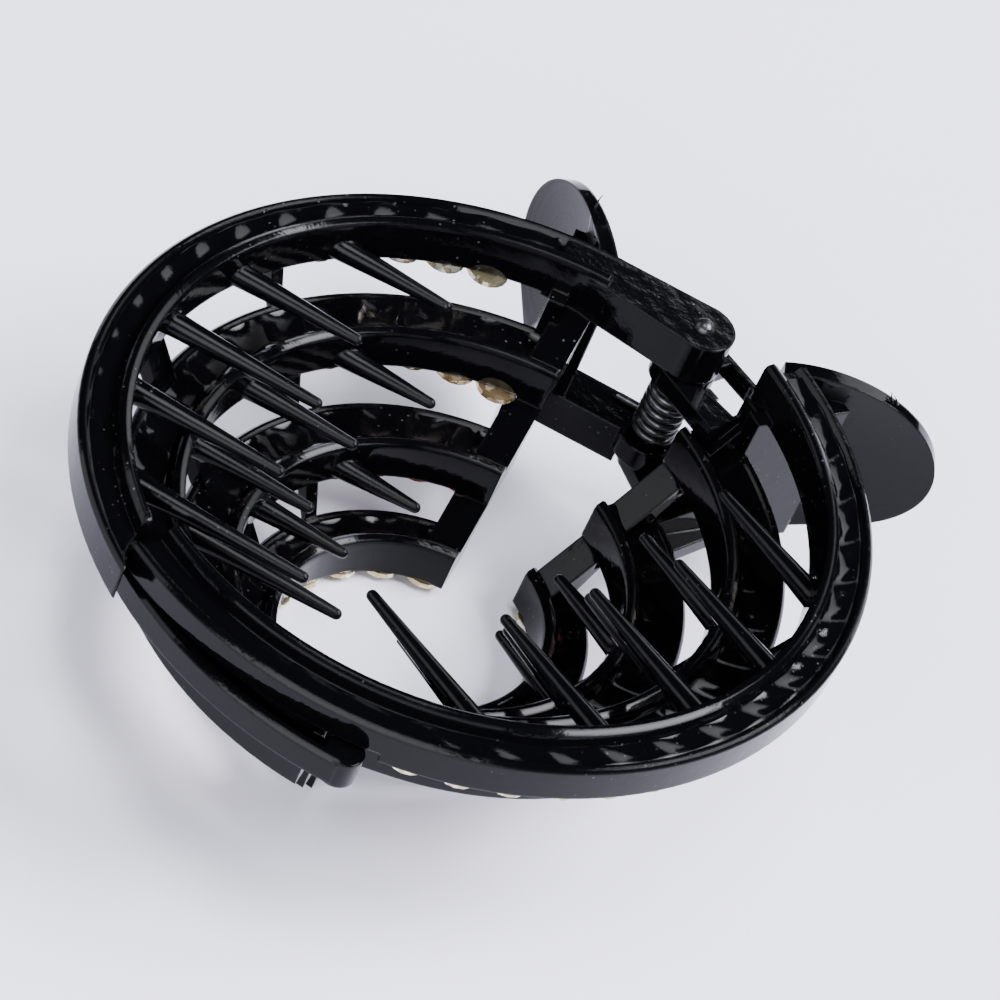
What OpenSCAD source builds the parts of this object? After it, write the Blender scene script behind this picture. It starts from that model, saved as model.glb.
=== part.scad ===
// Bird nest hair clip: two half domes of four stepped rings on one sprung hinge.
// The rim lies level at the top, the crown points down and rests on its stones,
// and the hinge is at the back (+Y). Jaw A is on the left, jaw B on the right.

/* [Dome] */
// Outer radius of jaw A's rim, the widest ring
rim_r = 45; // [43:0.5:47]
// How much wider jaw B is than jaw A, so that it can lie over the end of jaw A
wider_b = 0.65; // [0.5:0.05:0.8]
// Height of the rim's outer wall
rim_h = 4.8; // [4.5:0.1:5.2]
// Width across the bars that join one ring to the next
post_w = 4; // [3:0.5:5]

/* [Closing] */
// Turn of jaw A from straight, where the far ends pass each other
turn_a = 18; // [17:0.5:19]
// Turn of jaw B from straight
turn_b = -10.5; // [-11:0.5:-10]

/* [Teeth] */
// Radius of a tooth at its root
tooth_r = 1.5; // [1.2:0.1:1.6]
// Radius of a tooth at its tip
tooth_tip_r = 0.65; // [0.5:0.05:0.8]

/* [Hinge] */
// Radius of the hinge pin
pin_r = 1.0; // [0.9:0.05:1.1]
// Radius of the round ends of the hinge arms
eye_r = 3.8; // [3.6:0.1:4]
// Outer radius of the torsion spring
spring_r = 2.8; // [2.6:0.1:3]
// Thickness of the spring's wire
wire_d = 1.0; // [0.9:0.1:1.1]

/* [Grips] */
// Half length of the oval grip
grip_a = 15.0; // [14:0.2:16]
// Half height of the oval grip
grip_b = 10.9; // [10.5:0.1:11.5]
// Thickness of the grip
grip_t = 2.0; // [1.8:0.1:2.6]

/* [Stones] */
// Width of a stone at its girdle
stone_d = 5.0; // [4.8:0.05:5.05]
// Height of a stone
stone_h = 1.4; // [1.3:0.1:2]
// Step from one stone to the next, centre to centre
stone_step = 5.24; // [5.2:0.01:5.4]

/* [Hidden] */
$fn = 64;

// Rings, widest first: outer radius, inner radius, drop of the face below the rim, height.
// The jaw being drawn sets $wider, which is added to its radii.
$wider = 0;
ring_table = [
    [rim_r, rim_r - 5.8, 0, rim_h],
    [rim_r - 6.8, rim_r - 14.1, 9.1, 4.6],
    [rim_r - 15.2, rim_r - 22.6, 18.4, 4.5],
    [rim_r - 23.7, rim_r - 29.4, 27.1, 4.6]];
function ring_out(k) = ring_table[k][0] + $wider;
function ring_in(k) = ring_table[k][1] + $wider;
function ring_top(k) = -ring_table[k][2];
function ring_bottom(k) = -ring_table[k][2] - ring_table[k][3];

// Section of a ring: lips, the sunk face between them, and the raised bead on the inside
lip_w = 0.9;
face_sink = 0.8;
face_slope = 0.6;
bead_w = 1.5;
bead_h = 0.9;
edge_r = 0.4;

// Angles round a jaw, with the hinge end near 90 and the far end near 270: where the rings start
// and stop before the parting faces cut them, and where the steps between them are filled in
rings_from = 85;
rings_to = 280;
hinge_fill = [85, 115];
far_fill_a = [255, 275];
far_fill_b = [215, 255];
end_slope = 5.6;
gusset_at = 149;
gusset_w = 1.6;

// Distance of each jaw's parting face from its ring centre
parting_a = 1.5;
parting_b = 2.7;
// Room between the two jaws' parting faces at the far end, and above the lower rings there
parting_gap = 0.8;
under_gap = 0.3;
// Slanted end of jaw B's rim beside the hinge: where it starts, and its slant
rim_end_b = [-3.9, 38.8];
rim_slant_b = 16.3;

// Teeth, a row for each tooth: ring it grows from, height, place along the jaw, reach of the tip
tooth_table = [
    [0, -3.4, 26.6, 15], [0, -3.4, 14.6, 21], [0, -3.4, 2.6, 20.5], [0, -3.4, -9.4, 19.5],
    [0, -3.4, -21.4, 11],
    [1, -12.3, 21, 11.5], [1, -12.3, 9, 16], [1, -12.3, -3, 16], [1, -12.3, -15, 7],
    [2, -21.4, 14.5, 7.4], [2, -21.4, 2.6, 11.3]];
// Shift of jaw B's teeth along the jaw, ring by ring
tooth_shift_b = [-1.3, -0.8, 0];

// Ring centres and the hinge, seen from above, with the hinge at the back
centre_a = [2.9, -2.6];
centre_b = [-2.9, 2.6];
hinge_at = [0, 39.8];

// Stack of arms along the pin: top and bottom of each, and their outlines seen from above
upper_arm_a = [-0.1, -5.6];
upper_arm_b = [-5.9, -8.4];
lower_arm_a = [-18.2, -23.4];
lower_arm_b = [-21.4, -23.4];
lower_eye_r = 2.3;
lower_eye_a = -21.1;
upper_plan_a = [[-8, 38.8], [-8, 44.1], [-4, 44.6], [10.3, 45], [11.9, 44.6], [11.9, 37.8],
    [10.3, 37.5], [-3, 39]];
lower_plan_a = [[-7.4, 39.2], [-7.8, 44.4], [-4, 44.8], [7.6, 45], [7.8, 39.4], [-3, 39.1]];
lower_tip_a = [[7, 45], [10.3, 45], [11.9, 44.6], [11.9, 37.8], [10.3, 37.5], [8.5, 37.9], [7, 39.4]];
upper_plan_b = [[-5.4, 40.5], [-3.4, 43], [5, 43], [5.6, 40], [5.6, 33], [-3.9, 33.3], [-5.4, 33.8]];
window_b = [[-1.6, 42.2], [2.2, 42.2], [5, 37.4], [5, 36.9], [0.1, 36.3], [-1.6, 38]];
lower_plan_b = [[-5.6, 35.8], [-5, 35.05], [-0.5, 33.8], [2.7, 33.2], [3.2, 28], [10, 28], [10, 37],
    [-3.5, 39.4], [-5.6, 38.4]];
run_clear = 0.05;
play = 0.1;

// The end of jaw A's rim, hollowed round jaw B's tongue, and the ledge below the tongue: the angles
// that the ledge spans, its shift towards the middle, its top, and the sizes of its channel section
rim_end_a = 233.5;
arch_at = [-18.4, -31.1];
arch_r = 9.5;
ledge_span = [222, 273];
ledge_shift = [-1.36, 3.1];
ledge_top = -3.7;
ledge_h = 3.7;
ledge_w = 4.4;
ledge_wall = 1.2;
ledge_floor = 1.3;
// How far the tongue reaches past the middle, and the room under it: gap over the ledge, distance
// from the hinge and angles about it
tongue_lap = 2.6;
nest_gap = 0.35;
swing_r = 78.1;
swing_span = [244, 284.2];

// Grips: where each leaves the rim, its direction, and the centre of its oval along it and in height
grip_from_a = [-15, 39];
grip_from_b = [11.5, 46];
grip_dir_a = 145;
grip_dir_b = 35;
grip_centre = [4.6, -11.7];
grip_tilt = -5;
grip_span = [-42, 122];
grip_root = [-3, -18];
grip_foot = [5.0, -24.9];
dish_at = [9, -10.8];
dish_r = 66;
dish_depth = 0.9;
fin_t = 2;
fin_reach = 50.6;
fin_angle_a = 98.6;
fin_angle_b = 78.4;

// Reach of the spring's legs along each jaw
leg_a = 6;
leg_b = 5;

// Stones: distance of each row's centre from the ring's inner wall. The upper two rows of jaw A lean
// inwards towards the hinge: by how much at the end, and over how many degrees
stone_in = [2.8, 2.8, 2.8, 2.1];
lean_a = [1.9, 2.1];
lean_span = 19;
// First and last angle of each row, and the stones that sit in a corner of a bar: ring and angle
rows_a = [[111, 212], [103, 256.5], [103, 248], [104, 256]];
rows_b = [[111, 229], [102, 226], [106, 226], [109, 222]];
seats_a = [[1, rows_a[1][0]], [2, rows_a[2][0]]];
seats_b = [[1, rows_b[1][0]], [2, rows_b[2][0]]];
champagne = [0.93, 0.88, 0.72];
amber = [0.78, 0.48, 0.2];
ruby = [0.62, 0.08, 0.12];
gold = [0.92, 0.82, 0.52];

// Lift that puts the lowest stones on the ground, and the shift to the middle of the outline
seat_gap = 0.06;
lift = -ring_bottom(3) + seat_gap + stone_h;
middle = [0.31, 6.79];

module in_place() { translate([-middle[0], -middle[1], lift]) children(); }
module at_a() {
    $wider = 0;
    translate([centre_a[0], centre_a[1], 0]) rotate(turn_a) children();
}
module at_b() {
    $wider = wider_b;
    translate([centre_b[0], centre_b[1], 0]) rotate(turn_b) children();
}
module at_hinge() { translate([hinge_at[0], hinge_at[1], 0]) children(); }

// One ring's section, radius across and height up
module ring_section(k) {
    o = ring_out(k);
    i = ring_in(k);
    t = ring_top(k);
    b = ring_bottom(k);
    polygon([[i, b], [o - edge_r, b], [o, b + edge_r], [o, t - edge_r], [o - edge_r, t],
        [o - lip_w, t], [o - lip_w - face_slope, t - face_sink],
        [i + bead_w + face_slope, t - face_sink], [i + bead_w, t + bead_h * 0.6],
        [i + bead_w * 0.6, t + bead_h], [i + 0.2, t + bead_h * 0.7], [i, t]]);
}

// Part of a ring between two angles
module ring_arc(k, from, to) {
    rotate_extrude(angle = to - from, start = from) ring_section(k);
}

// Section that fills the step from ring k down to the next, with a sloping inner side
module step_section(k, slope) {
    o = ring_in(k) + 1.8;
    i = ring_in(k) + 0.2;
    b = ring_bottom(k);
    t = ring_top(k + 1) - 1.5;
    polygon([[o, b + 1], [i, b + 1], [i, b - 0.4], [ring_out(k + 1) - slope, t],
        [ring_out(k + 1) - 0.5, t], [o, b - 1.2]]);
}

// Part of step k about an angle, and the steps between all rings over a span of angles
module step_about(k, at, half, slope) {
    rotate_extrude(angle = 2 * half, start = at - half) step_section(k, slope);
}
module steps(span, slope) {
    for (k = [0:2]) step_about(k, (span[0] + span[1]) / 2, (span[1] - span[0]) / 2, slope);
}

// Bars that join the rings: one in the middle and a small gusset beside it
module mid_posts(k) {
    step_about(k, 180, asin(post_w / 2 / ring_in(k)), 2.5);
    step_about(k, gusset_at, asin(gusset_w / 2 / ring_in(k)), 1.2);
}

// Slab of a bar's width on one side of the upright plane x = face
module slab(face) {
    translate([face - post_w, -2 * rim_r, ring_bottom(3)])
        cube([post_w, 4 * rim_r, -ring_bottom(3)]);
}

// A tooth from the ring's inner wall towards the parting face
module tooth(row, shift) {
    y = row[2] + shift;
    root_x = sqrt(pow(ring_in(row[0]) + 1, 2) - pow(y, 2));
    length = root_x - row[3] - tooth_tip_r;
    translate([-root_x, y, row[1]]) rotate([0, 90, 0]) {
        cylinder(h = length, r1 = tooth_r, r2 = tooth_tip_r, $fn = 24);
        translate([0, 0, length]) sphere(r = tooth_tip_r, $fn = 24);
    }
}

// The rings, bars and teeth of one jaw, on the side x < 0; the children are cut away
module half_dome(face, rim_to, shifts) {
    difference() {
        union() {
            ring_arc(0, rings_from, rim_to);
            for (k = [1:3]) ring_arc(k, rings_from, rings_to);
            for (k = [0:2]) mid_posts(k);
            intersection() {
                steps(hinge_fill, end_slope);
                slab(-face);
            }
        }
        translate([-face, -5, -rim_r]) cube([rim_r, 2 * rim_r, 2 * rim_r]);
        children();
    }
    for (row = tooth_table) tooth(row, shifts[row[0]]);
}

// Room for the other jaw: everything below the rim beyond a plane at the far end
module far_room(from_x, to_x) {
    translate([from_x, -2 * rim_r, -rim_r])
        cube([to_x - from_x, 2 * rim_r, rim_r + ring_bottom(0) - under_gap]);
}

// Oval plate of a grip, upright, along +X from the rim, dished on its -Y side
module grip_plate() {
    facets = 44;
    oval = [for (i = [0:facets])
        let (t = grip_span[0] + (grip_span[1] - grip_span[0]) * i / facets,
            x = grip_a * cos(t), y = grip_b * sin(t))
        grip_centre + [x * cos(grip_tilt) - y * sin(grip_tilt),
            x * sin(grip_tilt) + y * cos(grip_tilt)]];
    difference() {
        translate([0, grip_t, 0]) rotate([90, 0, 0]) linear_extrude(grip_t)
            polygon(concat(oval, [grip_root, grip_foot - [fin_t, 0], grip_foot]));
        translate([dish_at[0], dish_depth - dish_r, dish_at[1]]) sphere(r = dish_r, $fn = 96);
    }
}

// Fin below the rim that carries a grip, from the rings' outer walls out to it
module fin(angle) {
    under = ring_bottom(0) + 1;
    rotate(angle) translate([0, fin_t / 2, 0]) rotate([90, 0, 0]) linear_extrude(fin_t)
        polygon([[fin_reach, under], [ring_out(1) - 1, under], [ring_out(1) - 1, ring_bottom(1) + 1],
            [ring_out(1) - 2, ring_top(2) + 1], [ring_out(2) - 1, ring_top(2) - 1],
            [ring_out(2) - 1, grip_foot[1]], [fin_reach, grip_foot[1]]]);
}

// Round end of a hinge arm
module eye(span, r) {
    translate([0, 0, span[1]]) cylinder(h = span[0] - span[1], r = r);
}

// Flat arm with a plan outline, between two heights
module arm(span, plan) {
    translate([0, 0, span[1]]) linear_extrude(span[0] - span[1]) polygon(plan);
}

module pin_hole(r) {
    at_hinge() translate([0, 0, -rim_r]) cylinder(h = 2 * rim_r, r = r, $fn = 48);
}

module at_ledge() {
    $wider = 0;
    translate([centre_a[0] + ledge_shift[0], centre_a[1] + ledge_shift[1], 0]) rotate(turn_a)
        children();
}

// Ledge under jaw B's tongue: a channel with an outer wall and a round end
module ledge() {
    bottom = ledge_top - ledge_h;
    inside = rim_r - ledge_w;
    rotate_extrude(angle = ledge_span[1] - ledge_span[0], start = ledge_span[0])
        polygon([[inside, bottom], [rim_r - edge_r, bottom], [rim_r, bottom + edge_r],
            [rim_r, ledge_top - edge_r], [rim_r - edge_r, ledge_top], [rim_r - ledge_wall, ledge_top],
            [rim_r - ledge_wall, bottom + ledge_floor], [inside, bottom + ledge_floor]]);
    rotate(ledge_span[1]) translate([rim_r - ledge_w / 2, 0, bottom + play])
        cylinder(h = ledge_h - 2 * play, r = ledge_w / 2 - play, $fn = 48);
}

module jaw_a() {
    color([0.03, 0.03, 0.035]) in_place() difference() {
        union() {
            at_a() {
                half_dome(parting_a, rim_end_a, [0, 0, 0]) {
                    far_room(-parting_a, rim_r);
                    translate([arch_at[0], arch_at[1], ring_bottom(0) - 1])
                        cylinder(h = 2 * rim_h, r = arch_r);
                    for (row = seats_a) seat(row);
                }
                intersection() {
                    steps(far_fill_a, end_slope);
                    slab(-parting_a);
                    translate([0, 0, ring_bottom(3)])
                        cylinder(h = -ring_bottom(3), r = ring_out(1) - play);
                }
                arm(upper_arm_a, upper_plan_a);
                arm(lower_arm_a, lower_plan_a);
                arm([lower_arm_a[0], lower_eye_a], lower_tip_a);
                fin(fin_angle_a);
            }
            at_hinge() {
                eye(upper_arm_a, eye_r);
                eye([lower_arm_a[0], lower_eye_a], eye_r);
            }
            at_ledge() ledge();
            translate([grip_from_a[0], grip_from_a[1], 0]) rotate(grip_dir_a) mirror([0, 1, 0])
                grip_plate();
        }
        pin_hole(pin_r);
    }
}

// What is cut from the end of jaw B's rim beside the hinge
module rim_end() {
    translate([rim_end_b[0], rim_end_b[1], ring_bottom(0) - under_gap]) rotate(rim_slant_b)
        translate([0, -rim_h, 0]) cube([2 * rim_h, 4 * rim_h, 2 * rim_h]);
}

module jaw_b() {
    color([0.03, 0.03, 0.035]) in_place() difference() {
        union() {
            difference() {
                union() {
                    at_b() arm(upper_arm_b, upper_plan_b);
                    at_b() mirror([1, 0, 0])
                        half_dome(parting_b, 270 + tongue_lap, tooth_shift_b) {
                            rim_end();
                            for (row = seats_b) seat(row);
                        }
                    intersection() {
                        at_b() mirror([1, 0, 0]) steps(far_fill_b, 3);
                        at_a() slab(parting_gap - parting_a + post_w);
                    }
                }
                at_a() far_room(-rim_r, parting_gap - parting_a);
                at_hinge() rotate_extrude(angle = swing_span[1] - swing_span[0], start = swing_span[0])
                    translate([swing_r, 2 * ring_bottom(0)])
                        square([2 * rim_h, ledge_top + nest_gap - 2 * ring_bottom(0)]);
                at_b() arm([ring_bottom(0) - under_gap, ring_top(1) + under_gap], window_b);
            }
            at_b() {
                arm(lower_arm_b, lower_plan_b);
                fin(fin_angle_b);
            }
            at_hinge() {
                eye(upper_arm_b, eye_r);
                eye(lower_arm_b, lower_eye_r);
            }
            translate([grip_from_b[0], grip_from_b[1], 0]) rotate(grip_dir_b) grip_plate();
        }
        pin_hole(pin_r + run_clear);
    }
}

// Pin with a small domed head on top and a flat rivet head below
module hinge_pin() {
    head_r = pin_r + 0.35;
    head_sink = 0.45;
    rivet_h = 0.5;
    tail = lower_arm_b[1] - run_clear;
    color([0.02, 0.02, 0.02]) in_place() at_hinge() {
        translate([0, 0, tail - rivet_h])
            cylinder(h = upper_arm_a[0] - tail + 2 * rivet_h, r = pin_r, $fn = 48);
        translate([0, 0, upper_arm_a[0]]) intersection() {
            translate([0, 0, -head_sink]) sphere(r = head_r, $fn = 48);
            cylinder(h = head_r, r = head_r, $fn = 48);
        }
        translate([0, 0, tail - rivet_h]) cylinder(h = rivet_h, r = head_r + 0.2, $fn = 48);
    }
}

// Torsion spring: close turns round the pin and a straight leg at each end
module spring() {
    turns = 7;
    per_turn = 18;
    sides = 6;
    mean_r = spring_r - wire_d / 2;
    top = upper_arm_b[1] - wire_d / 2 - play;
    bottom = lower_arm_a[0] + wire_d / 2 + play;
    count = turns * per_turn;
    function out(a) = [cos(a), sin(a), 0];
    function turn(i) = 90 - 360 * i / per_turn;
    function at(i) = mean_r * out(turn(i)) + [0, 0, bottom + (top - bottom) * i / count];
    foot = [for (s = [leg_a, leg_a / 2]) [at(0) + s * [-cos(turn_a), -sin(turn_a), 0], 90]];
    coil = [for (i = [0:count]) [at(i), turn(i)]];
    head = [for (s = [leg_b / 2, leg_b]) [at(count) + s * [cos(turn_b), sin(turn_b), 0], 90]];
    path = concat(foot, coil, head);
    points = [for (p = path) for (j = [0:sides - 1])
        p[0] + wire_d / 2 * (cos(360 * j / sides) * out(p[1]) + [0, 0, sin(360 * j / sides)])];
    last = len(path) - 1;
    walls = [for (i = [0:last - 1]) for (j = [0:sides - 1])
        let (n = (j + 1) % sides)
        [(i + 1) * sides + j, (i + 1) * sides + n, i * sides + n, i * sides + j]];
    caps = [[for (j = [0:sides - 1]) j], [for (j = [sides - 1:-1:0]) last * sides + j]];
    color([0.05, 0.05, 0.05]) in_place() at_hinge() polyhedron(points, concat(walls, caps));
}

// Seat cut in a bar for a stone that sits in its corner
module seat(row) {
    rotate(row[1]) translate([row_r(row[0], row[1]), 0, ring_bottom(row[0]) - stone_h - 2 * play])
        cylinder(h = stone_h + 3 * play, r = stone_d / 2 + play, $fn = 32);
}

// A cut stone hanging table down from z = 0: flat back, girdle, facets and table
module stone() {
    n = 8;
    girdle = 0.6;
    function ringlet(r, z, turn) = [for (i = [0:n - 1])
        [r * cos(360 * i / n + turn), r * sin(360 * i / n + turn), z]];
    points = concat(ringlet(stone_d / 2 - 0.1, 0, 0), ringlet(stone_d / 2, -girdle, 0),
        ringlet(stone_d * 0.27, -stone_h, 180 / n));
    sides = [for (i = [0:n - 1]) let (j = (i + 1) % n) [j, n + j, n + i, i]];
    facets = [for (i = [0:n - 1]) let (j = (i + 1) % n)
        each [[n + j, 2 * n + i, n + i], [2 * n + j, 2 * n + i, n + j]]];
    polyhedron(points, concat([[for (i = [n - 1:-1:0]) i]], sides, facets,
        [[for (i = [0:n - 1]) 2 * n + i]]));
}

// Whether a stone of row k at an angle stands clear of a bar of some width at another angle
function clear_of(k, a, bar_at, bar_w) =
    k > 2 || abs(a - bar_at) > asin((stone_d + bar_w) / 2 / (ring_in(k) + stone_in[k])) + 0.5;

// Radius of row k's circle at an angle; only jaw A's rows lean, and $wider is 0 there
function row_r(k, a) = ring_in(k) + stone_in[k]
    - ($wider > 0 || k > 1 ? 0 : lean_a[k] * max(0, 1 - (a - rows_a[k][0]) / lean_span));

// Row of stones under ring k, from one angle to another, all one step apart
module stone_row(k, from, to) {
    step = 2 * asin(stone_step / 2 / (ring_in(k) + min(stone_in[k], 1.9)));
    for (a = [from:step:to]) if (clear_of(k, a, 180, post_w) && clear_of(k, a, gusset_at, gusset_w))
        rotate(a) translate([row_r(k, a), 0, ring_bottom(k) - seat_gap]) rotate(180 / 8) stone();
}

module row_a(k, tint) {
    color(tint) in_place() at_a() stone_row(k, rows_a[k][0], rows_a[k][1]);
}

module row_b(k, tint) {
    color(tint) in_place() at_b() mirror([1, 0, 0]) stone_row(k, rows_b[k][0], rows_b[k][1]);
}

module stones_a_rim() { row_a(0, champagne); }
module stones_a_upper() { row_a(1, amber); }
module stones_a_lower() { row_a(2, ruby); }
module stones_a_crown() { row_a(3, gold); }
module stones_b_rim() { row_b(0, champagne); }
module stones_b_upper() { row_b(1, amber); }
module stones_b_lower() { row_b(2, ruby); }
module stones_b_crown() { row_b(3, gold); }

jaw_a();
jaw_b();
hinge_pin();
spring();
stones_a_rim();
stones_a_upper();
stones_a_lower();
stones_a_crown();
stones_b_rim();
stones_b_upper();
stones_b_lower();
stones_b_crown();
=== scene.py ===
import math
import random

import bmesh
import bpy
from mathutils import Matrix, Vector


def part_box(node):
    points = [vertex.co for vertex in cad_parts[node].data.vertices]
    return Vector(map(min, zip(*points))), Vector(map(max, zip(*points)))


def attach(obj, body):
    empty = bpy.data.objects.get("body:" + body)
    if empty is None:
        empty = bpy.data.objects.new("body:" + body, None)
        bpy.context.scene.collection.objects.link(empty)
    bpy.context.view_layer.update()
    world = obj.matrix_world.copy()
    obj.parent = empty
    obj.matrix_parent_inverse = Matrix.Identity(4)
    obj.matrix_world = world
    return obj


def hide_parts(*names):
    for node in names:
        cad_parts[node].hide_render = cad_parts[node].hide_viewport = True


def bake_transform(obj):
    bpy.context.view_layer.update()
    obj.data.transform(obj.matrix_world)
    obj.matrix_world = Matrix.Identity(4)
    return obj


# Bird nest hair clip lying crown down: black moulded jaws, rows of stones, sprung hinge.
# Lengths below are in millimetres, as on the part's drawing, and become metres in the meshes.

mm = 0.001
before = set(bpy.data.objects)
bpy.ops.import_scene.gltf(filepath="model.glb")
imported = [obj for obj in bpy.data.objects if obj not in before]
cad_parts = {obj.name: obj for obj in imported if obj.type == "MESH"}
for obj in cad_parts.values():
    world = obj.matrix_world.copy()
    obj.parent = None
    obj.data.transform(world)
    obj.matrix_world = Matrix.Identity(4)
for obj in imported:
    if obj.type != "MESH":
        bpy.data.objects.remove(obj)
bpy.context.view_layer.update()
print("frame loaded")

dome = {
    "rings": [  # outer radius, inner radius, top, height
        (45.0, 39.2, 0.0, 4.8),
        (38.2, 30.9, -9.1, 4.6),
        (29.8, 22.4, -18.4, 4.5),
        (21.3, 15.6, -27.1, 4.6)],
    "widerB": 0.65,
    "lip": 0.9,
    "sink": 0.8,
    "slope": 0.6,
    "bead": 1.5,
    "beadHeight": 0.9,
    "middle": (0.31, 6.79),
    "centreA": (2.9, -2.6),
    "centreB": (-2.9, 2.6),
    "turnA": 18.0,
    "turnB": -10.5,
    "hinge": (0.0, 39.8)}

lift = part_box("jaw_b")[1][2] / mm - dome["beadHeight"]   # the bead is the highest edge
inPlace = Matrix.Translation((-dome["middle"][0], -dome["middle"][1], lift))


def standAt(spot, turn):
    return inPlace @ Matrix.Translation((*spot, 0)) @ Matrix.Rotation(math.radians(turn), 4, "Z")


atA = standAt(dome["centreA"], dome["turnA"])
atB = standAt(dome["centreB"], dome["turnB"])
mirrorX = Matrix.Diagonal((-1, 1, 1, 1))
atHinge = inPlace @ Matrix.Translation((*dome["hinge"], 0))
toMetres = Matrix.Scale(mm, 4)


# Node helpers

def addNode(tree, kind, **settings):
    node = tree.nodes.new(kind)
    for key, value in settings.items():
        if key in node.inputs:
            node.inputs[key].default_value = value
        else:
            setattr(node, key, value)
    return node


def join(tree, start, startSocket, end, endSocket):
    tree.links.new(start.outputs[startSocket], end.inputs[endSocket])


def newGroup(name, inputs, outputs):
    tree = bpy.data.node_groups.new(name, "ShaderNodeTree")
    for label, value in inputs.items():
        socket = tree.interface.new_socket(label, in_out="INPUT", socket_type="NodeSocketFloat")
        socket.default_value = value
    for label in outputs:
        tree.interface.new_socket(label, in_out="OUTPUT", socket_type="NodeSocketFloat")
    return tree, tree.nodes.new("NodeGroupInput"), tree.nodes.new("NodeGroupOutput")


def useGroup(tree, group, **settings):
    node = tree.nodes.new("ShaderNodeGroup")
    node.node_tree = group
    for key, value in settings.items():
        node.inputs[key].default_value = value
    return node


# Fine unevenness of a moulded surface: ripples left by flow, and dust as rougher specks

skinLook = {
    "rippleDetail": 3.0,
    "rippleRoughness": 0.55,
    "speckScale": 900.0,
    "speckEdge": (0.05, 0.16),   # distance from a speck's middle at which it starts and ends
    "patchScale": 90.0,          # patches in which the dust lies
    "patchDetail": 2.0,
    "patchEdge": (0.5, 0.68)}


def mapRange(tree, fromRange=(0.0, 1.0), toRange=(0.0, 1.0)):
    return addNode(tree, "ShaderNodeMapRange", **{
        "From Min": fromRange[0], "From Max": fromRange[1], "To Min": toRange[0], "To Max": toRange[1]})


def buildMouldSkin():
    tree, given, result = newGroup("mouldSkin", {"Ripple Size": 400.0, "Dust": 0.5}, ["Height", "Speck"])
    place = addNode(tree, "ShaderNodeTexCoord")
    ripple = addNode(tree, "ShaderNodeTexNoise", Detail=skinLook["rippleDetail"],
                     Roughness=skinLook["rippleRoughness"])
    join(tree, place, "Object", ripple, "Vector")
    join(tree, given, "Ripple Size", ripple, "Scale")
    join(tree, ripple, "Fac", result, "Height")
    dust = addNode(tree, "ShaderNodeTexVoronoi", feature="F1", Scale=skinLook["speckScale"], Randomness=1.0)
    join(tree, place, "Object", dust, "Vector")
    speck = mapRange(tree, skinLook["speckEdge"], (1.0, 0.0))
    join(tree, dust, "Distance", speck, "Value")
    patch = addNode(tree, "ShaderNodeTexNoise", Scale=skinLook["patchScale"], Detail=skinLook["patchDetail"])
    join(tree, place, "Object", patch, "Vector")
    where = mapRange(tree, skinLook["patchEdge"])
    join(tree, patch, "Fac", where, "Value")
    both = addNode(tree, "ShaderNodeMath", operation="MULTIPLY")
    join(tree, speck, "Result", both, 0)
    join(tree, where, "Result", both, 1)
    amount = addNode(tree, "ShaderNodeMath", operation="MULTIPLY")
    join(tree, both, "Value", amount, 0)
    join(tree, given, "Dust", amount, 1)
    join(tree, amount, "Value", result, "Speck")
    return tree


mouldSkin = buildMouldSkin()


def newMaterial(name):
    material = bpy.data.materials.new(name)
    material.use_nodes = True
    tree = material.node_tree
    return material, tree, tree.nodes["Principled BSDF"]


def mixColours(tree, first, second):
    mix = addNode(tree, "ShaderNodeMix", data_type="RGBA")
    mix.inputs[6].default_value = (*first, 1)
    mix.inputs[7].default_value = (*second, 1)
    return mix


# Black plastic, glossy or satin

def plasticMaterial(name, look):
    material, tree, shader = newMaterial(name)
    shader.inputs["IOR"].default_value = look["ior"]
    shader.inputs["Specular IOR Level"].default_value = look["shine"]
    skin = useGroup(tree, mouldSkin, **{"Ripple Size": look["rippleSize"], "Dust": look["dust"]})
    colour = mixColours(tree, look["colour"], look["dustColour"])
    join(tree, skin, "Speck", colour, 0)
    tree.links.new(colour.outputs[2], shader.inputs["Base Color"])
    rough = mapRange(tree, toRange=(look["roughness"], look["dustRoughness"]))
    join(tree, skin, "Speck", rough, "Value")
    tree.links.new(rough.outputs["Result"], shader.inputs["Roughness"])
    corner = addNode(tree, "ShaderNodeBevel", samples=4, Radius=look["cornerRadius"] * mm)
    relief = addNode(tree, "ShaderNodeBump", Strength=1.0, Distance=look["rippleDepth"] * mm)
    join(tree, skin, "Height", relief, "Height")
    join(tree, corner, "Normal", relief, "Normal")
    join(tree, relief, "Normal", shader, "Normal")
    return material, tree, shader, relief


glossLook = {
    "colour": (0.0012, 0.0012, 0.0016),
    "dustColour": (0.08, 0.08, 0.085),
    "ior": 1.5,
    "shine": 0.115,
    "roughness": 0.075,
    "dustRoughness": 0.4,
    "dust": 0.8,
    "rippleSize": 420.0,
    "rippleDepth": 0.035,
    "cornerRadius": 0.42}

satinLook = dict(glossLook, colour=(0.004, 0.004, 0.0045), roughness=0.36, rippleDepth=0.012,
                 rippleSize=900.0)

turning = {"lines": 1500.0, "depth": 0.012, "roughest": 0.46}


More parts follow.
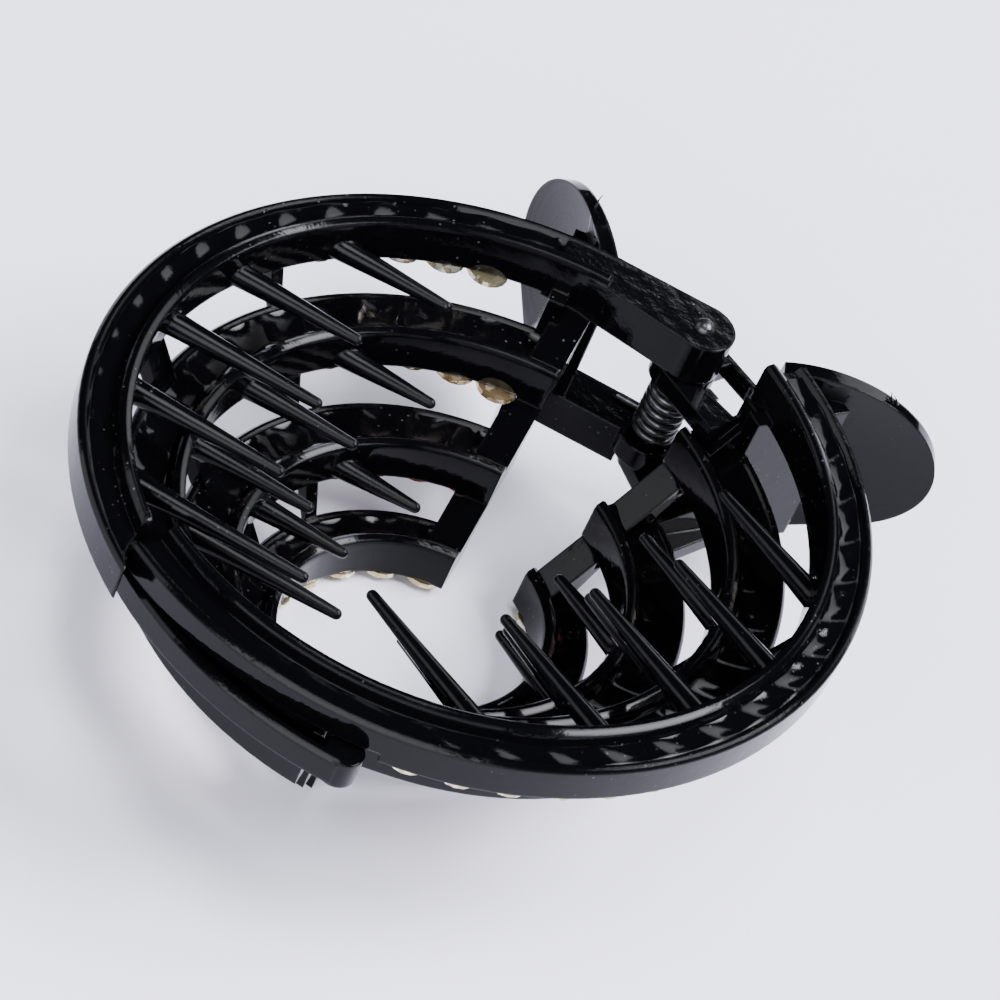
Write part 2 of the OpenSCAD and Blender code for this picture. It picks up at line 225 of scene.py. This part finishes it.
# Satin face of a grip with the fine turning marks of its mould, round the middle of the dish
def gripMaterial(name, centre):
    material, tree, shader, relief = plasticMaterial(name, satinLook)
    place = addNode(tree, "ShaderNodeTexCoord")
    away = addNode(tree, "ShaderNodeVectorMath", operation="DISTANCE")
    away.inputs[1].default_value = centre
    join(tree, place, "Object", away, 0)
    marks = addNode(tree, "ShaderNodeTexNoise", noise_dimensions="1D", Scale=turning["lines"], Detail=3.0)
    join(tree, away, "Value", marks, "W")
    scratches = addNode(tree, "ShaderNodeBump", Strength=1.0, Distance=turning["depth"] * mm)
    join(tree, marks, "Fac", scratches, "Height")
    join(tree, relief, "Normal", scratches, "Normal")
    join(tree, scratches, "Normal", shader, "Normal")
    rough = mapRange(tree, toRange=(satinLook["roughness"], turning["roughest"]))
    join(tree, marks, "Fac", rough, "Value")
    join(tree, rough, "Result", shader, "Roughness")
    return material


blackGloss = plasticMaterial("blackGloss", glossLook)[0]

steelLook = {
    "colour": (0.035, 0.035, 0.038),
    "worn": (0.11, 0.11, 0.115),
    "wearEdge": (0.5, 0.75),
    "metallic": 0.9,
    "roughness": (0.24, 0.42),
    "rippleSize": 1300.0}


def steelMaterial():
    material, tree, shader = newMaterial("blackenedSteel")
    shader.inputs["Metallic"].default_value = steelLook["metallic"]
    skin = useGroup(tree, mouldSkin, **{"Ripple Size": steelLook["rippleSize"], "Dust": 1.0})
    colour = mixColours(tree, steelLook["colour"], steelLook["worn"])
    wear = mapRange(tree, steelLook["wearEdge"])
    join(tree, skin, "Height", wear, "Value")
    join(tree, wear, "Result", colour, 0)
    tree.links.new(colour.outputs[2], shader.inputs["Base Color"])
    rough = mapRange(tree, toRange=steelLook["roughness"])
    join(tree, skin, "Height", rough, "Value")
    join(tree, rough, "Result", shader, "Roughness")
    return material


blackSteel = steelMaterial()
print("plastic and steel ready")


# Mesh helpers

mergeWithin = 0.002


def meshFrom(bm, name):
    mesh = bpy.data.meshes.new(name)
    bm.to_mesh(mesh)
    bm.free()
    return mesh


# One visible piece, smooth but for edges sharper than the crease angle, riding its body
def finishPiece(bm, name, materials, body, node=None, creaseAngle=28.0):
    for edge in bm.edges:
        edge.smooth = len(edge.link_faces) == 2 and edge.calc_face_angle(0) < math.radians(creaseAngle)
    for face in bm.faces:
        face.smooth = True
    mesh = meshFrom(bm, name)
    for material in materials:
        mesh.materials.append(material)
    piece = bpy.data.objects.new(name, mesh)
    bpy.context.scene.collection.objects.link(piece)
    if body:
        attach(piece, body)
    if node:
        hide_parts(node)
    return piece


def mergedCopy(node):
    bm = bmesh.new()
    bm.from_mesh(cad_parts[node].data)
    bmesh.ops.remove_doubles(bm, verts=bm.verts, dist=mergeWithin * mm)
    return bm


# Jaws: the moulded shape, with satin faces on the grips

jawFinish = {
    "flatWithin": 0.4,   # degrees
    "gripA": {"from": (-15.0, 39.0), "turn": 145.0, "mirrored": True},
    "gripB": {"from": (11.5, 46.0), "turn": 35.0, "mirrored": False},
    "dish": (9.0, -10.8),
    "plate": (2.0, 19.5, -22.3, -1.5),   # from the rim outwards, and in height
    "plateDepth": (-0.6, 2.1),
    "facing": 0.93}   # share of a face's normal that points out of the plate


def gripPlace(grip):
    place = standAt(grip["from"], grip["turn"])
    return place @ Matrix.Diagonal((1, -1, 1, 1)) if grip["mirrored"] else place


def buildJaw(node, body, grip):
    bm = mergedCopy(node)
    bmesh.ops.dissolve_limit(bm, angle_limit=math.radians(jawFinish["flatWithin"]), verts=bm.verts,
                             edges=bm.edges, use_dissolve_boundaries=False, delimit=set())
    bmesh.ops.triangulate(bm, faces=[face for face in bm.faces if len(face.verts) > 4])
    place = gripPlace(grip)
    inward = (toMetres @ place).inverted()
    outward = place.to_3x3().inverted()
    near, far, low, high = jawFinish["plate"]
    back, front = jawFinish["plateDepth"]
    for face in bm.faces:
        spot = inward @ face.calc_center_median()
        within = near < spot.x < far and low < spot.z < high and back < spot.y < front
        if within and abs((outward @ face.normal).y) > jawFinish["facing"]:
            face.material_index = 1
    centre = toMetres @ place @ Vector((jawFinish["dish"][0], 0, jawFinish["dish"][1]))
    satin = gripMaterial("satin_" + node, centre)
    piece = finishPiece(bm, "moulded_" + node, [blackGloss, satin], body, node)
    weighted = piece.modifiers.new("weighted", "WEIGHTED_NORMAL")
    weighted.keep_sharp = True


buildJaw("jaw_a", "left_jaw", jawFinish["gripA"])
buildJaw("jaw_b", "right_jaw", jawFinish["gripB"])
print("jaws ready")


# Sunk faces of the rings: a run of shallow hollows between the lips, a little over the CAD's face

hollow = {
    "step": 8.5,        # degrees on the rim
    "depth": 0.48,
    "sharpness": 1.6,   # of the wave along the ring
    "edge": 0.6,        # of the curve across it
    "shallowest": 0.12,
    "clear": 0.03,
    "tuck": 0.35,       # how far a face runs in under the lips
    "slant": 1.5,       # degrees that a hollow leans across the face
    "parting": {"a": 1.5, "b": 2.7},
    "otherJaw": -0.7,   # where jaw B stops short of jaw A, from jaw A's centre line
    "across": 12,
    "fadeOver": 95.0,   # degrees over which the rim's hollows grow shallow towards the far end
    "perHollow": 14,
    "arch": (-18.4, -31.1, 9.6)}   # hollowed end of jaw A's rim: centre and radius

faceSpans = {   # first and last angle of each ring's face
    "a": [(101.5, 233.4), (86, 275), (86, 275), (86, 275)],
    "b": [(98.5, 246), (86, 275), (86, 275), (86, 275)]}


def hollowHeight(k, angle, share, span):
    step = hollow["step"] * dome["rings"][0][0] / dome["rings"][k][0]
    lean = hollow["slant"] * (share - 0.5) * 2
    wave = abs(math.cos(math.pi * (angle + lean) / step)) ** hollow["sharpness"]
    middle = math.sin(math.pi * share) ** hollow["edge"]
    fade = min(1.0, (span[1] - angle) / hollow["fadeOver"]) if k == 0 else 1.0
    return hollow["clear"] + hollow["depth"] * (1 - wave * middle) * max(hollow["shallowest"], fade)


def cutOff(bm, point, normal):
    bmesh.ops.bisect_plane(bm, geom=bm.verts[:] + bm.edges[:] + bm.faces[:], clear_outer=True,
                           plane_co=point, plane_no=normal)


def buildFaces(side, body):
    place = atA if side == "a" else atB @ mirrorX
    wider = 0 if side == "a" else dome["widerB"]
    whole = bmesh.new()
    for k, (outer, inner, top, _) in enumerate(dome["rings"]):
        first, last = faceSpans[side][k]
        start = inner + wider + dome["bead"] + dome["slope"] - hollow["tuck"]
        end = outer + wider - dome["lip"] - dome["slope"] + hollow["tuck"]
        level = top - dome["sink"] - hollow["clear"]
        bm = bmesh.new()
        verts = [bm.verts.new((start + (end - start) * i / hollow["across"], 0, level))
                 for i in range(hollow["across"] + 1)]
        edges = [bm.edges.new(pair) for pair in zip(verts, verts[1:])]
        bmesh.ops.rotate(bm, verts=bm.verts, cent=(0, 0, 0),
                         matrix=Matrix.Rotation(math.radians(first), 3, "Z"))
        step = hollow["step"] * dome["rings"][0][0] / outer
        count = round((last - first) / step * hollow["perHollow"])
        bmesh.ops.spin(bm, geom=verts + edges, cent=(0, 0, 0), axis=(0, 0, 1), dvec=(0, 0, 0),
                       angle=math.radians(last - first), steps=count)
        for vert in bm.verts:
            angle = math.degrees(math.atan2(vert.co.y, vert.co.x)) % 360
            share = min(1, max(0, (vert.co.xy.length - start) / (end - start)))
            vert.co.z += hollowHeight(k, angle, share, (first, last)) * (0 < share < 1)
        cutOff(bm, (-hollow["parting"][side] - hollow["clear"], 0, 0), (1, 0, 0))
        if side == "a" and k == 0:
            archX, archY, archRadius = hollow["arch"]
            inside = [vert for vert in bm.verts
                      if math.hypot(vert.co.x - archX, vert.co.y - archY) < archRadius]
            bmesh.ops.delete(bm, geom=inside, context="VERTS")
        bmesh.ops.transform(bm, matrix=place, verts=bm.verts)
        if side == "b" and k > 0:
            cutOff(bm, atA @ Vector((hollow["otherJaw"] + hollow["clear"], 0, 0)),
                   -(atA.to_3x3() @ Vector((1, 0, 0))))
        bmesh.ops.recalc_face_normals(bm, faces=bm.faces)
        if sum(face.normal.z for face in bm.faces) < 0:
            bmesh.ops.reverse_faces(bm, faces=bm.faces)
        part = meshFrom(bm, "part")
        whole.from_mesh(part)
        bpy.data.meshes.remove(part)
    bmesh.ops.transform(whole, matrix=toMetres, verts=whole.verts)
    finishPiece(whole, "ring_faces_" + side, [blackGloss], body, creaseAngle=60)


buildFaces("a", "left_jaw")
buildFaces("b", "right_jaw")
print("ring faces ready")


# Cut stones with a foil back

stone = {
    "width": 5.0,
    "height": 1.4,
    "girdle": 0.55,
    "taper": 0.1,         # how much narrower the foot is than the girdle
    "table": 0.27,        # radius, as a share of the width
    "star": 0.385,
    "starHeight": 0.42}   # as a share of the crown's height

stoneFinish = {
    "ior": 1.58,
    "metallic": 0.85,
    "coatRoughness": 0.02,
    "facets": 950.0,
    "scatter": 0.9,
    "glintEdge": (0.5, 0.95),
    "roughness": (0.08, 0.3),
    "tilt": 0.5,
    "facetDepth": 0.12}

# The glint colour is a painted glint: a share of the facet cells gets this paler colour in place of
# sparkling light
stoneLooks = {
    "rim": {"slot": "stone_champagne", "colour": (0.4, 0.34, 0.19), "glint": (1.0, 0.95, 0.8)},
    "upper": {"slot": "stone_amber", "colour": (0.4, 0.27, 0.13), "glint": (1.0, 0.86, 0.6)},
    "lower": {"slot": "stone_ruby", "colour": (0.3, 0.02, 0.03), "glint": (0.9, 0.3, 0.25)},
    "crown": {"slot": "stone_gold", "colour": (0.45, 0.36, 0.16), "glint": (1.0, 0.93, 0.66)}}


def stoneMaterial(row, look):
    material, tree, shader = newMaterial("stone_" + row)
    shader.inputs["IOR"].default_value = stoneFinish["ior"]
    shader.inputs["Metallic"].default_value = stoneFinish["metallic"]
    shader.inputs["Coat Weight"].default_value = 1.0
    shader.inputs["Coat Roughness"].default_value = stoneFinish["coatRoughness"]
    place = addNode(tree, "ShaderNodeTexCoord")
    cells = addNode(tree, "ShaderNodeTexVoronoi", feature="F1", Scale=stoneFinish["facets"],
                    Randomness=stoneFinish["scatter"])
    join(tree, place, "Object", cells, "Vector")
    light = addNode(tree, "ShaderNodeSeparateColor")
    join(tree, cells, "Color", light, "Color")
    # Painted glint: the paler glint colour on a share of the facet cells
    paintedGlint = mapRange(tree, stoneFinish["glintEdge"])
    join(tree, light, "Red", paintedGlint, "Value")
    colour = mixColours(tree, look["colour"], look["glint"])
    join(tree, paintedGlint, "Result", colour, 0)
    tree.links.new(colour.outputs[2], shader.inputs["Base Color"])
    rough = mapRange(tree, toRange=stoneFinish["roughness"])
    join(tree, light, "Green", rough, "Value")
    join(tree, rough, "Result", shader, "Roughness")
    facets = addNode(tree, "ShaderNodeBump", Strength=stoneFinish["tilt"],
                     Distance=stoneFinish["facetDepth"] * mm)
    join(tree, light, "Blue", facets, "Height")
    join(tree, facets, "Normal", shader, "Normal")
    return material


# The hull of four rings of points, the table down
def cutStone():
    bm = bmesh.new()
    width, height, girdle = stone["width"], stone["height"], stone["girdle"]
    rings = [   # segments, radius, height, turn
        (16, width / 2 - stone["taper"], 0.0, 0.0),
        (16, width / 2, -girdle, 0.0),
        (8, width * stone["star"], -height + (height - girdle) * stone["starHeight"], 22.5),
        (8, width * stone["table"], -height, 0.0)]
    for segments, radius, level, turn in rings:
        place = Matrix.Translation((0, 0, level)) @ Matrix.Rotation(math.radians(turn), 4, "Z")
        bmesh.ops.create_circle(bm, cap_ends=False, segments=segments, radius=radius, matrix=place)
    bmesh.ops.delete(bm, geom=bm.edges[:], context="EDGES_FACES")
    bmesh.ops.convex_hull(bm, input=bm.verts[:])
    bmesh.ops.dissolve_limit(bm, angle_limit=math.radians(1), verts=bm.verts, edges=bm.edges,
                             use_dissolve_boundaries=False, delimit=set())
    bmesh.ops.recalc_face_normals(bm, faces=bm.faces)
    return meshFrom(bm, "cutStone")


# Middle of each separate solid seen from above, at its highest level
def solidCentres(bm):
    left = set(bm.verts)
    centres = []
    while left:
        reached = {left.pop()}
        front = list(reached)
        while front:
            vert = front.pop()
            for link in vert.link_edges:
                other = link.other_vert(vert)
                if other in left:
                    left.discard(other)
                    reached.add(other)
                    front.append(other)
        low = Vector([min(v.co[i] for v in reached) for i in range(3)])
        high = Vector([max(v.co[i] for v in reached) for i in range(3)])
        centres.append(((low.x + high.x) / 2, (low.y + high.y) / 2, high.z))
    return centres


def buildStones(side, row, body, pattern, material):
    node = "stones_" + side + "_" + row
    found = mergedCopy(node)
    bm = bmesh.new()
    for centre in sorted(solidCentres(found)):
        before = len(bm.verts)
        bm.from_mesh(pattern)
        bm.verts.ensure_lookup_table()
        turn = math.atan2(centre[1], centre[0])
        place = Matrix.Translation(centre) @ Matrix.Rotation(turn, 4, "Z") @ toMetres
        bmesh.ops.transform(bm, matrix=place, verts=bm.verts[before:])
    found.free()
    finishPiece(bm, "cut_" + node, [material], body, node, creaseAngle=3)


stonePattern = cutStone()
for row, look in stoneLooks.items():
    material = stoneMaterial(row, look)
    buildStones("a", row, "left_jaw", stonePattern, material)
    buildStones("b", row, "right_jaw", stonePattern, material)
bpy.data.meshes.remove(stonePattern)
print("stones ready")


# Torsion spring and pin

spring = {
    "turns": 7,
    "radius": 2.3,
    "wire": 0.5,
    "bottom": -17.6,
    "top": -9.0,
    "perTurn": 26,
    "sides": 12,
    "footBend": (-0.9, -0.08, 0),
    "headBend": (0.9, -0.05, 0),
    "footReach": 5.4,
    "headReach": 4.0,
    "stillEnd": 0.6}   # height at each end of the coil


def pullLoop(bm, loop, move):
    pulled = bmesh.ops.extrude_edge_only(bm, edges=loop)["geom"]
    verts = [item for item in pulled if isinstance(item, bmesh.types.BMVert)]
    bmesh.ops.translate(bm, verts=verts, vec=move)
    loop = [item for item in pulled if isinstance(item, bmesh.types.BMEdge)
            and all(vert in verts for vert in item.verts)]
    return loop, verts


def pullLeg(bm, loop, moves):
    for move in moves:
        loop, _ = pullLoop(bm, loop, move)
    bmesh.ops.holes_fill(bm, edges=loop, sides=0)


def buildSpring():
    bm = bmesh.new()
    bottom, top = spring["bottom"], spring["top"]
    standing = Matrix.Translation((0, spring["radius"], bottom)) @ Matrix.Rotation(math.pi / 2, 4, "Y")
    ring = bmesh.ops.create_circle(bm, cap_ends=False, segments=spring["sides"], radius=spring["wire"],
                                   matrix=standing)
    edges = list({edge for vert in ring["verts"] for edge in vert.link_edges})
    steps = spring["turns"] * spring["perTurn"]
    rise = (top - bottom) / steps
    bmesh.ops.spin(bm, geom=ring["verts"] + edges, cent=(0, 0, 0), axis=(0, 0, 1), dvec=(0, 0, rise),
                   angle=-math.radians(360 * spring["turns"]), steps=steps)
    openEdges = [edge for edge in bm.edges if len(edge.link_faces) == 1]
    foot = [edge for edge in openEdges if edge.verts[0].co.z < (bottom + top) / 2]
    head = [edge for edge in openEdges if edge not in foot]
    leanA = math.radians(dome["turnA"])
    leanB = math.radians(dome["turnB"])
    pullLeg(bm, foot, [Vector(spring["footBend"]),
                       -spring["footReach"] * Vector((math.cos(leanA), math.sin(leanA), 0))])
    pullLeg(bm, head, [Vector(spring["headBend"]),
                       spring["headReach"] * Vector((math.cos(leanB), math.sin(leanB), 0))])
    bmesh.ops.recalc_face_normals(bm, faces=bm.faces)
    bmesh.ops.transform(bm, matrix=toMetres @ atHinge, verts=bm.verts)
    piece = finishPiece(bm, "torsion_spring", [blackSteel], None, "spring", creaseAngle=50)
    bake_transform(piece)


buildSpring()
finishPiece(mergedCopy("hinge_pin"), "steel_pin", [blackSteel], "left_jaw", "hinge_pin",
            creaseAngle=35)
print("spring and pin ready")


# Torn gate stubs on the top edges of the grips

burr = {
    "gripA": {"along": 6.6, "height": -1.2, "seed": 4},
    "gripB": {"along": 10.6, "height": -1.9, "seed": 9},
    "strands": 3,
    "apart": 0.7,
    "parts": 4,
    "length": 2.2,
    "radius": 0.22,
    "taper": 0.72}


def buildBurr(name, grip, spot, body):
    chance = random.Random(spot["seed"])
    place = gripPlace(grip)
    bm = bmesh.new()
    for strand in range(burr["strands"]):
        lean = Vector((chance.uniform(-0.9, 0.9), chance.uniform(-0.3, 0.3), chance.uniform(0.35, 0.8)))
        ring = bmesh.ops.create_circle(bm, cap_ends=True, segments=6, radius=burr["radius"])
        start = Vector((spot["along"] + (strand - 1) * burr["apart"], 1.0, spot["height"]))
        bmesh.ops.translate(bm, verts=ring["verts"], vec=start)
        loop = list({edge for vert in ring["verts"] for edge in vert.link_edges})
        for _ in range(burr["parts"]):
            stray = Vector((chance.uniform(-0.2, 0.2), chance.uniform(-0.1, 0.1), 0))
            loop, verts = pullLoop(bm, loop, lean * burr["length"] / burr["parts"] + stray)
            middle = sum((vert.co for vert in verts), Vector()) / len(verts)
            bmesh.ops.scale(bm, vec=(burr["taper"],) * 3, space=Matrix.Translation(-middle), verts=verts)
        bmesh.ops.holes_fill(bm, edges=loop, sides=0)
    bmesh.ops.transform(bm, matrix=toMetres @ place, verts=bm.verts)
    bmesh.ops.recalc_face_normals(bm, faces=bm.faces)
    finishPiece(bm, name, [blackGloss], body, creaseAngle=50)


buildBurr("gate_stub_a", jawFinish["gripA"], burr["gripA"], "left_jaw")
buildBurr("gate_stub_b", jawFinish["gripB"], burr["gripB"], "right_jaw")
print("gate stubs ready")


# Table top, lights and camera

floorLook = {
    "size": 3.0,   # metres
    "colour": (0.83, 0.825, 0.93),
    "shade": (0.78, 0.775, 0.89),
    "roughness": 0.6,
    "cloudScale": 14.0,
    "cloudDetail": 6.0}


def buildFloor():
    bm = bmesh.new()
    bmesh.ops.create_grid(bm, x_segments=1, y_segments=1, size=floorLook["size"] / 2)
    mesh = meshFrom(bm, "tableTop")
    material, tree, shader = newMaterial("paleTable")
    shader.inputs["Roughness"].default_value = floorLook["roughness"]
    place = addNode(tree, "ShaderNodeTexCoord")
    cloud = addNode(tree, "ShaderNodeTexNoise", Scale=floorLook["cloudScale"],
                    Detail=floorLook["cloudDetail"])
    join(tree, place, "Object", cloud, "Vector")
    colour = mixColours(tree, floorLook["colour"], floorLook["shade"])
    join(tree, cloud, "Fac", colour, 0)
    tree.links.new(colour.outputs[2], shader.inputs["Base Color"])
    mesh.materials.append(material)
    floor = bpy.data.objects.new("tableTop", mesh)
    bpy.context.scene.collection.objects.link(floor)


buildFloor()

# Each light: direction from the clip as azimuth from +X and elevation, distance and size in metres
lights = [
    {"name": "overhead", "from": (-67, 84), "distance": 1.3, "size": (0.5, 0.5), "power": 12,
     "colour": (0.94, 0.95, 1.0)},
    {"name": "backdrop", "from": (89, 31.5), "distance": 1.5, "size": (1.05, 0.5), "power": 8,
     "colour": (0.92, 0.95, 1.0)},
    {"name": "behindCamera", "from": (-67, 30), "distance": 2.2, "size": (3.0, 1.2), "power": 105,
     "colour": (0.93, 0.94, 1.0)},
    {"name": "right", "from": (40, 50), "distance": 2.2, "size": (1.4, 0.9), "power": 150,
     "colour": (0.94, 0.94, 1.0)},
    {"name": "left", "from": (-150, 30), "distance": 2.2, "size": (1.8, 1.2), "power": 26,
     "colour": (0.93, 0.94, 1.0)}]

lightTarget = (0, 0, 0.02)   # metres
room = {"colour": (0.72, 0.74, 0.8, 1), "strength": 0.03}


def buildLights():
    target = Vector(lightTarget)
    for light in lights:
        azimuth, elevation = (math.radians(value) for value in light["from"])
        away = Vector((math.cos(azimuth) * math.cos(elevation),
                       math.sin(azimuth) * math.cos(elevation), math.sin(elevation)))
        lamp = bpy.data.lights.new(light["name"], "AREA")
        lamp.shape = "RECTANGLE"
        lamp.size, lamp.size_y = light["size"]
        lamp.energy = light["power"]
        lamp.color = light["colour"]
        lampObject = bpy.data.objects.new(light["name"], lamp)
        lampObject.location = target + away * light["distance"]
        lampObject.rotation_euler = away.to_track_quat("Z", "Y").to_euler()
        bpy.context.scene.collection.objects.link(lampObject)
    world = bpy.data.worlds.new("room")
    world.use_nodes = True
    background = world.node_tree.nodes["Background"]
    background.inputs["Color"].default_value = room["colour"]
    background.inputs["Strength"].default_value = room["strength"]
    bpy.context.scene.world = world


buildLights()

view = {"lens": 158.8, "sensor": 36, "nearest": 0.01,
        "place": (138.505, -324.255, 322.83),   # above the rim's level
        "right": (0.713401, 0.626268, 0.314398),
        "down": (0.64, -0.399561, -0.656316),
        "forward": (-0.285408, 0.669432, -0.68586)}


def buildCamera():
    camera = bpy.data.cameras.new("camera")
    camera.lens = view["lens"]
    camera.sensor_width = view["sensor"]
    camera.clip_start = view["nearest"]
    cameraObject = bpy.data.objects.new("camera", camera)
    right, down, forward = (Vector(view[key]).normalized() for key in ("right", "down", "forward"))
    turn = Matrix((right, -down, -forward)).transposed().to_4x4()
    place = Vector(view["place"]) + Vector((0, 0, lift))
    cameraObject.matrix_world = Matrix.Translation(place * mm) @ turn
    bpy.context.scene.collection.objects.link(cameraObject)
    bpy.context.scene.camera = cameraObject


buildCamera()
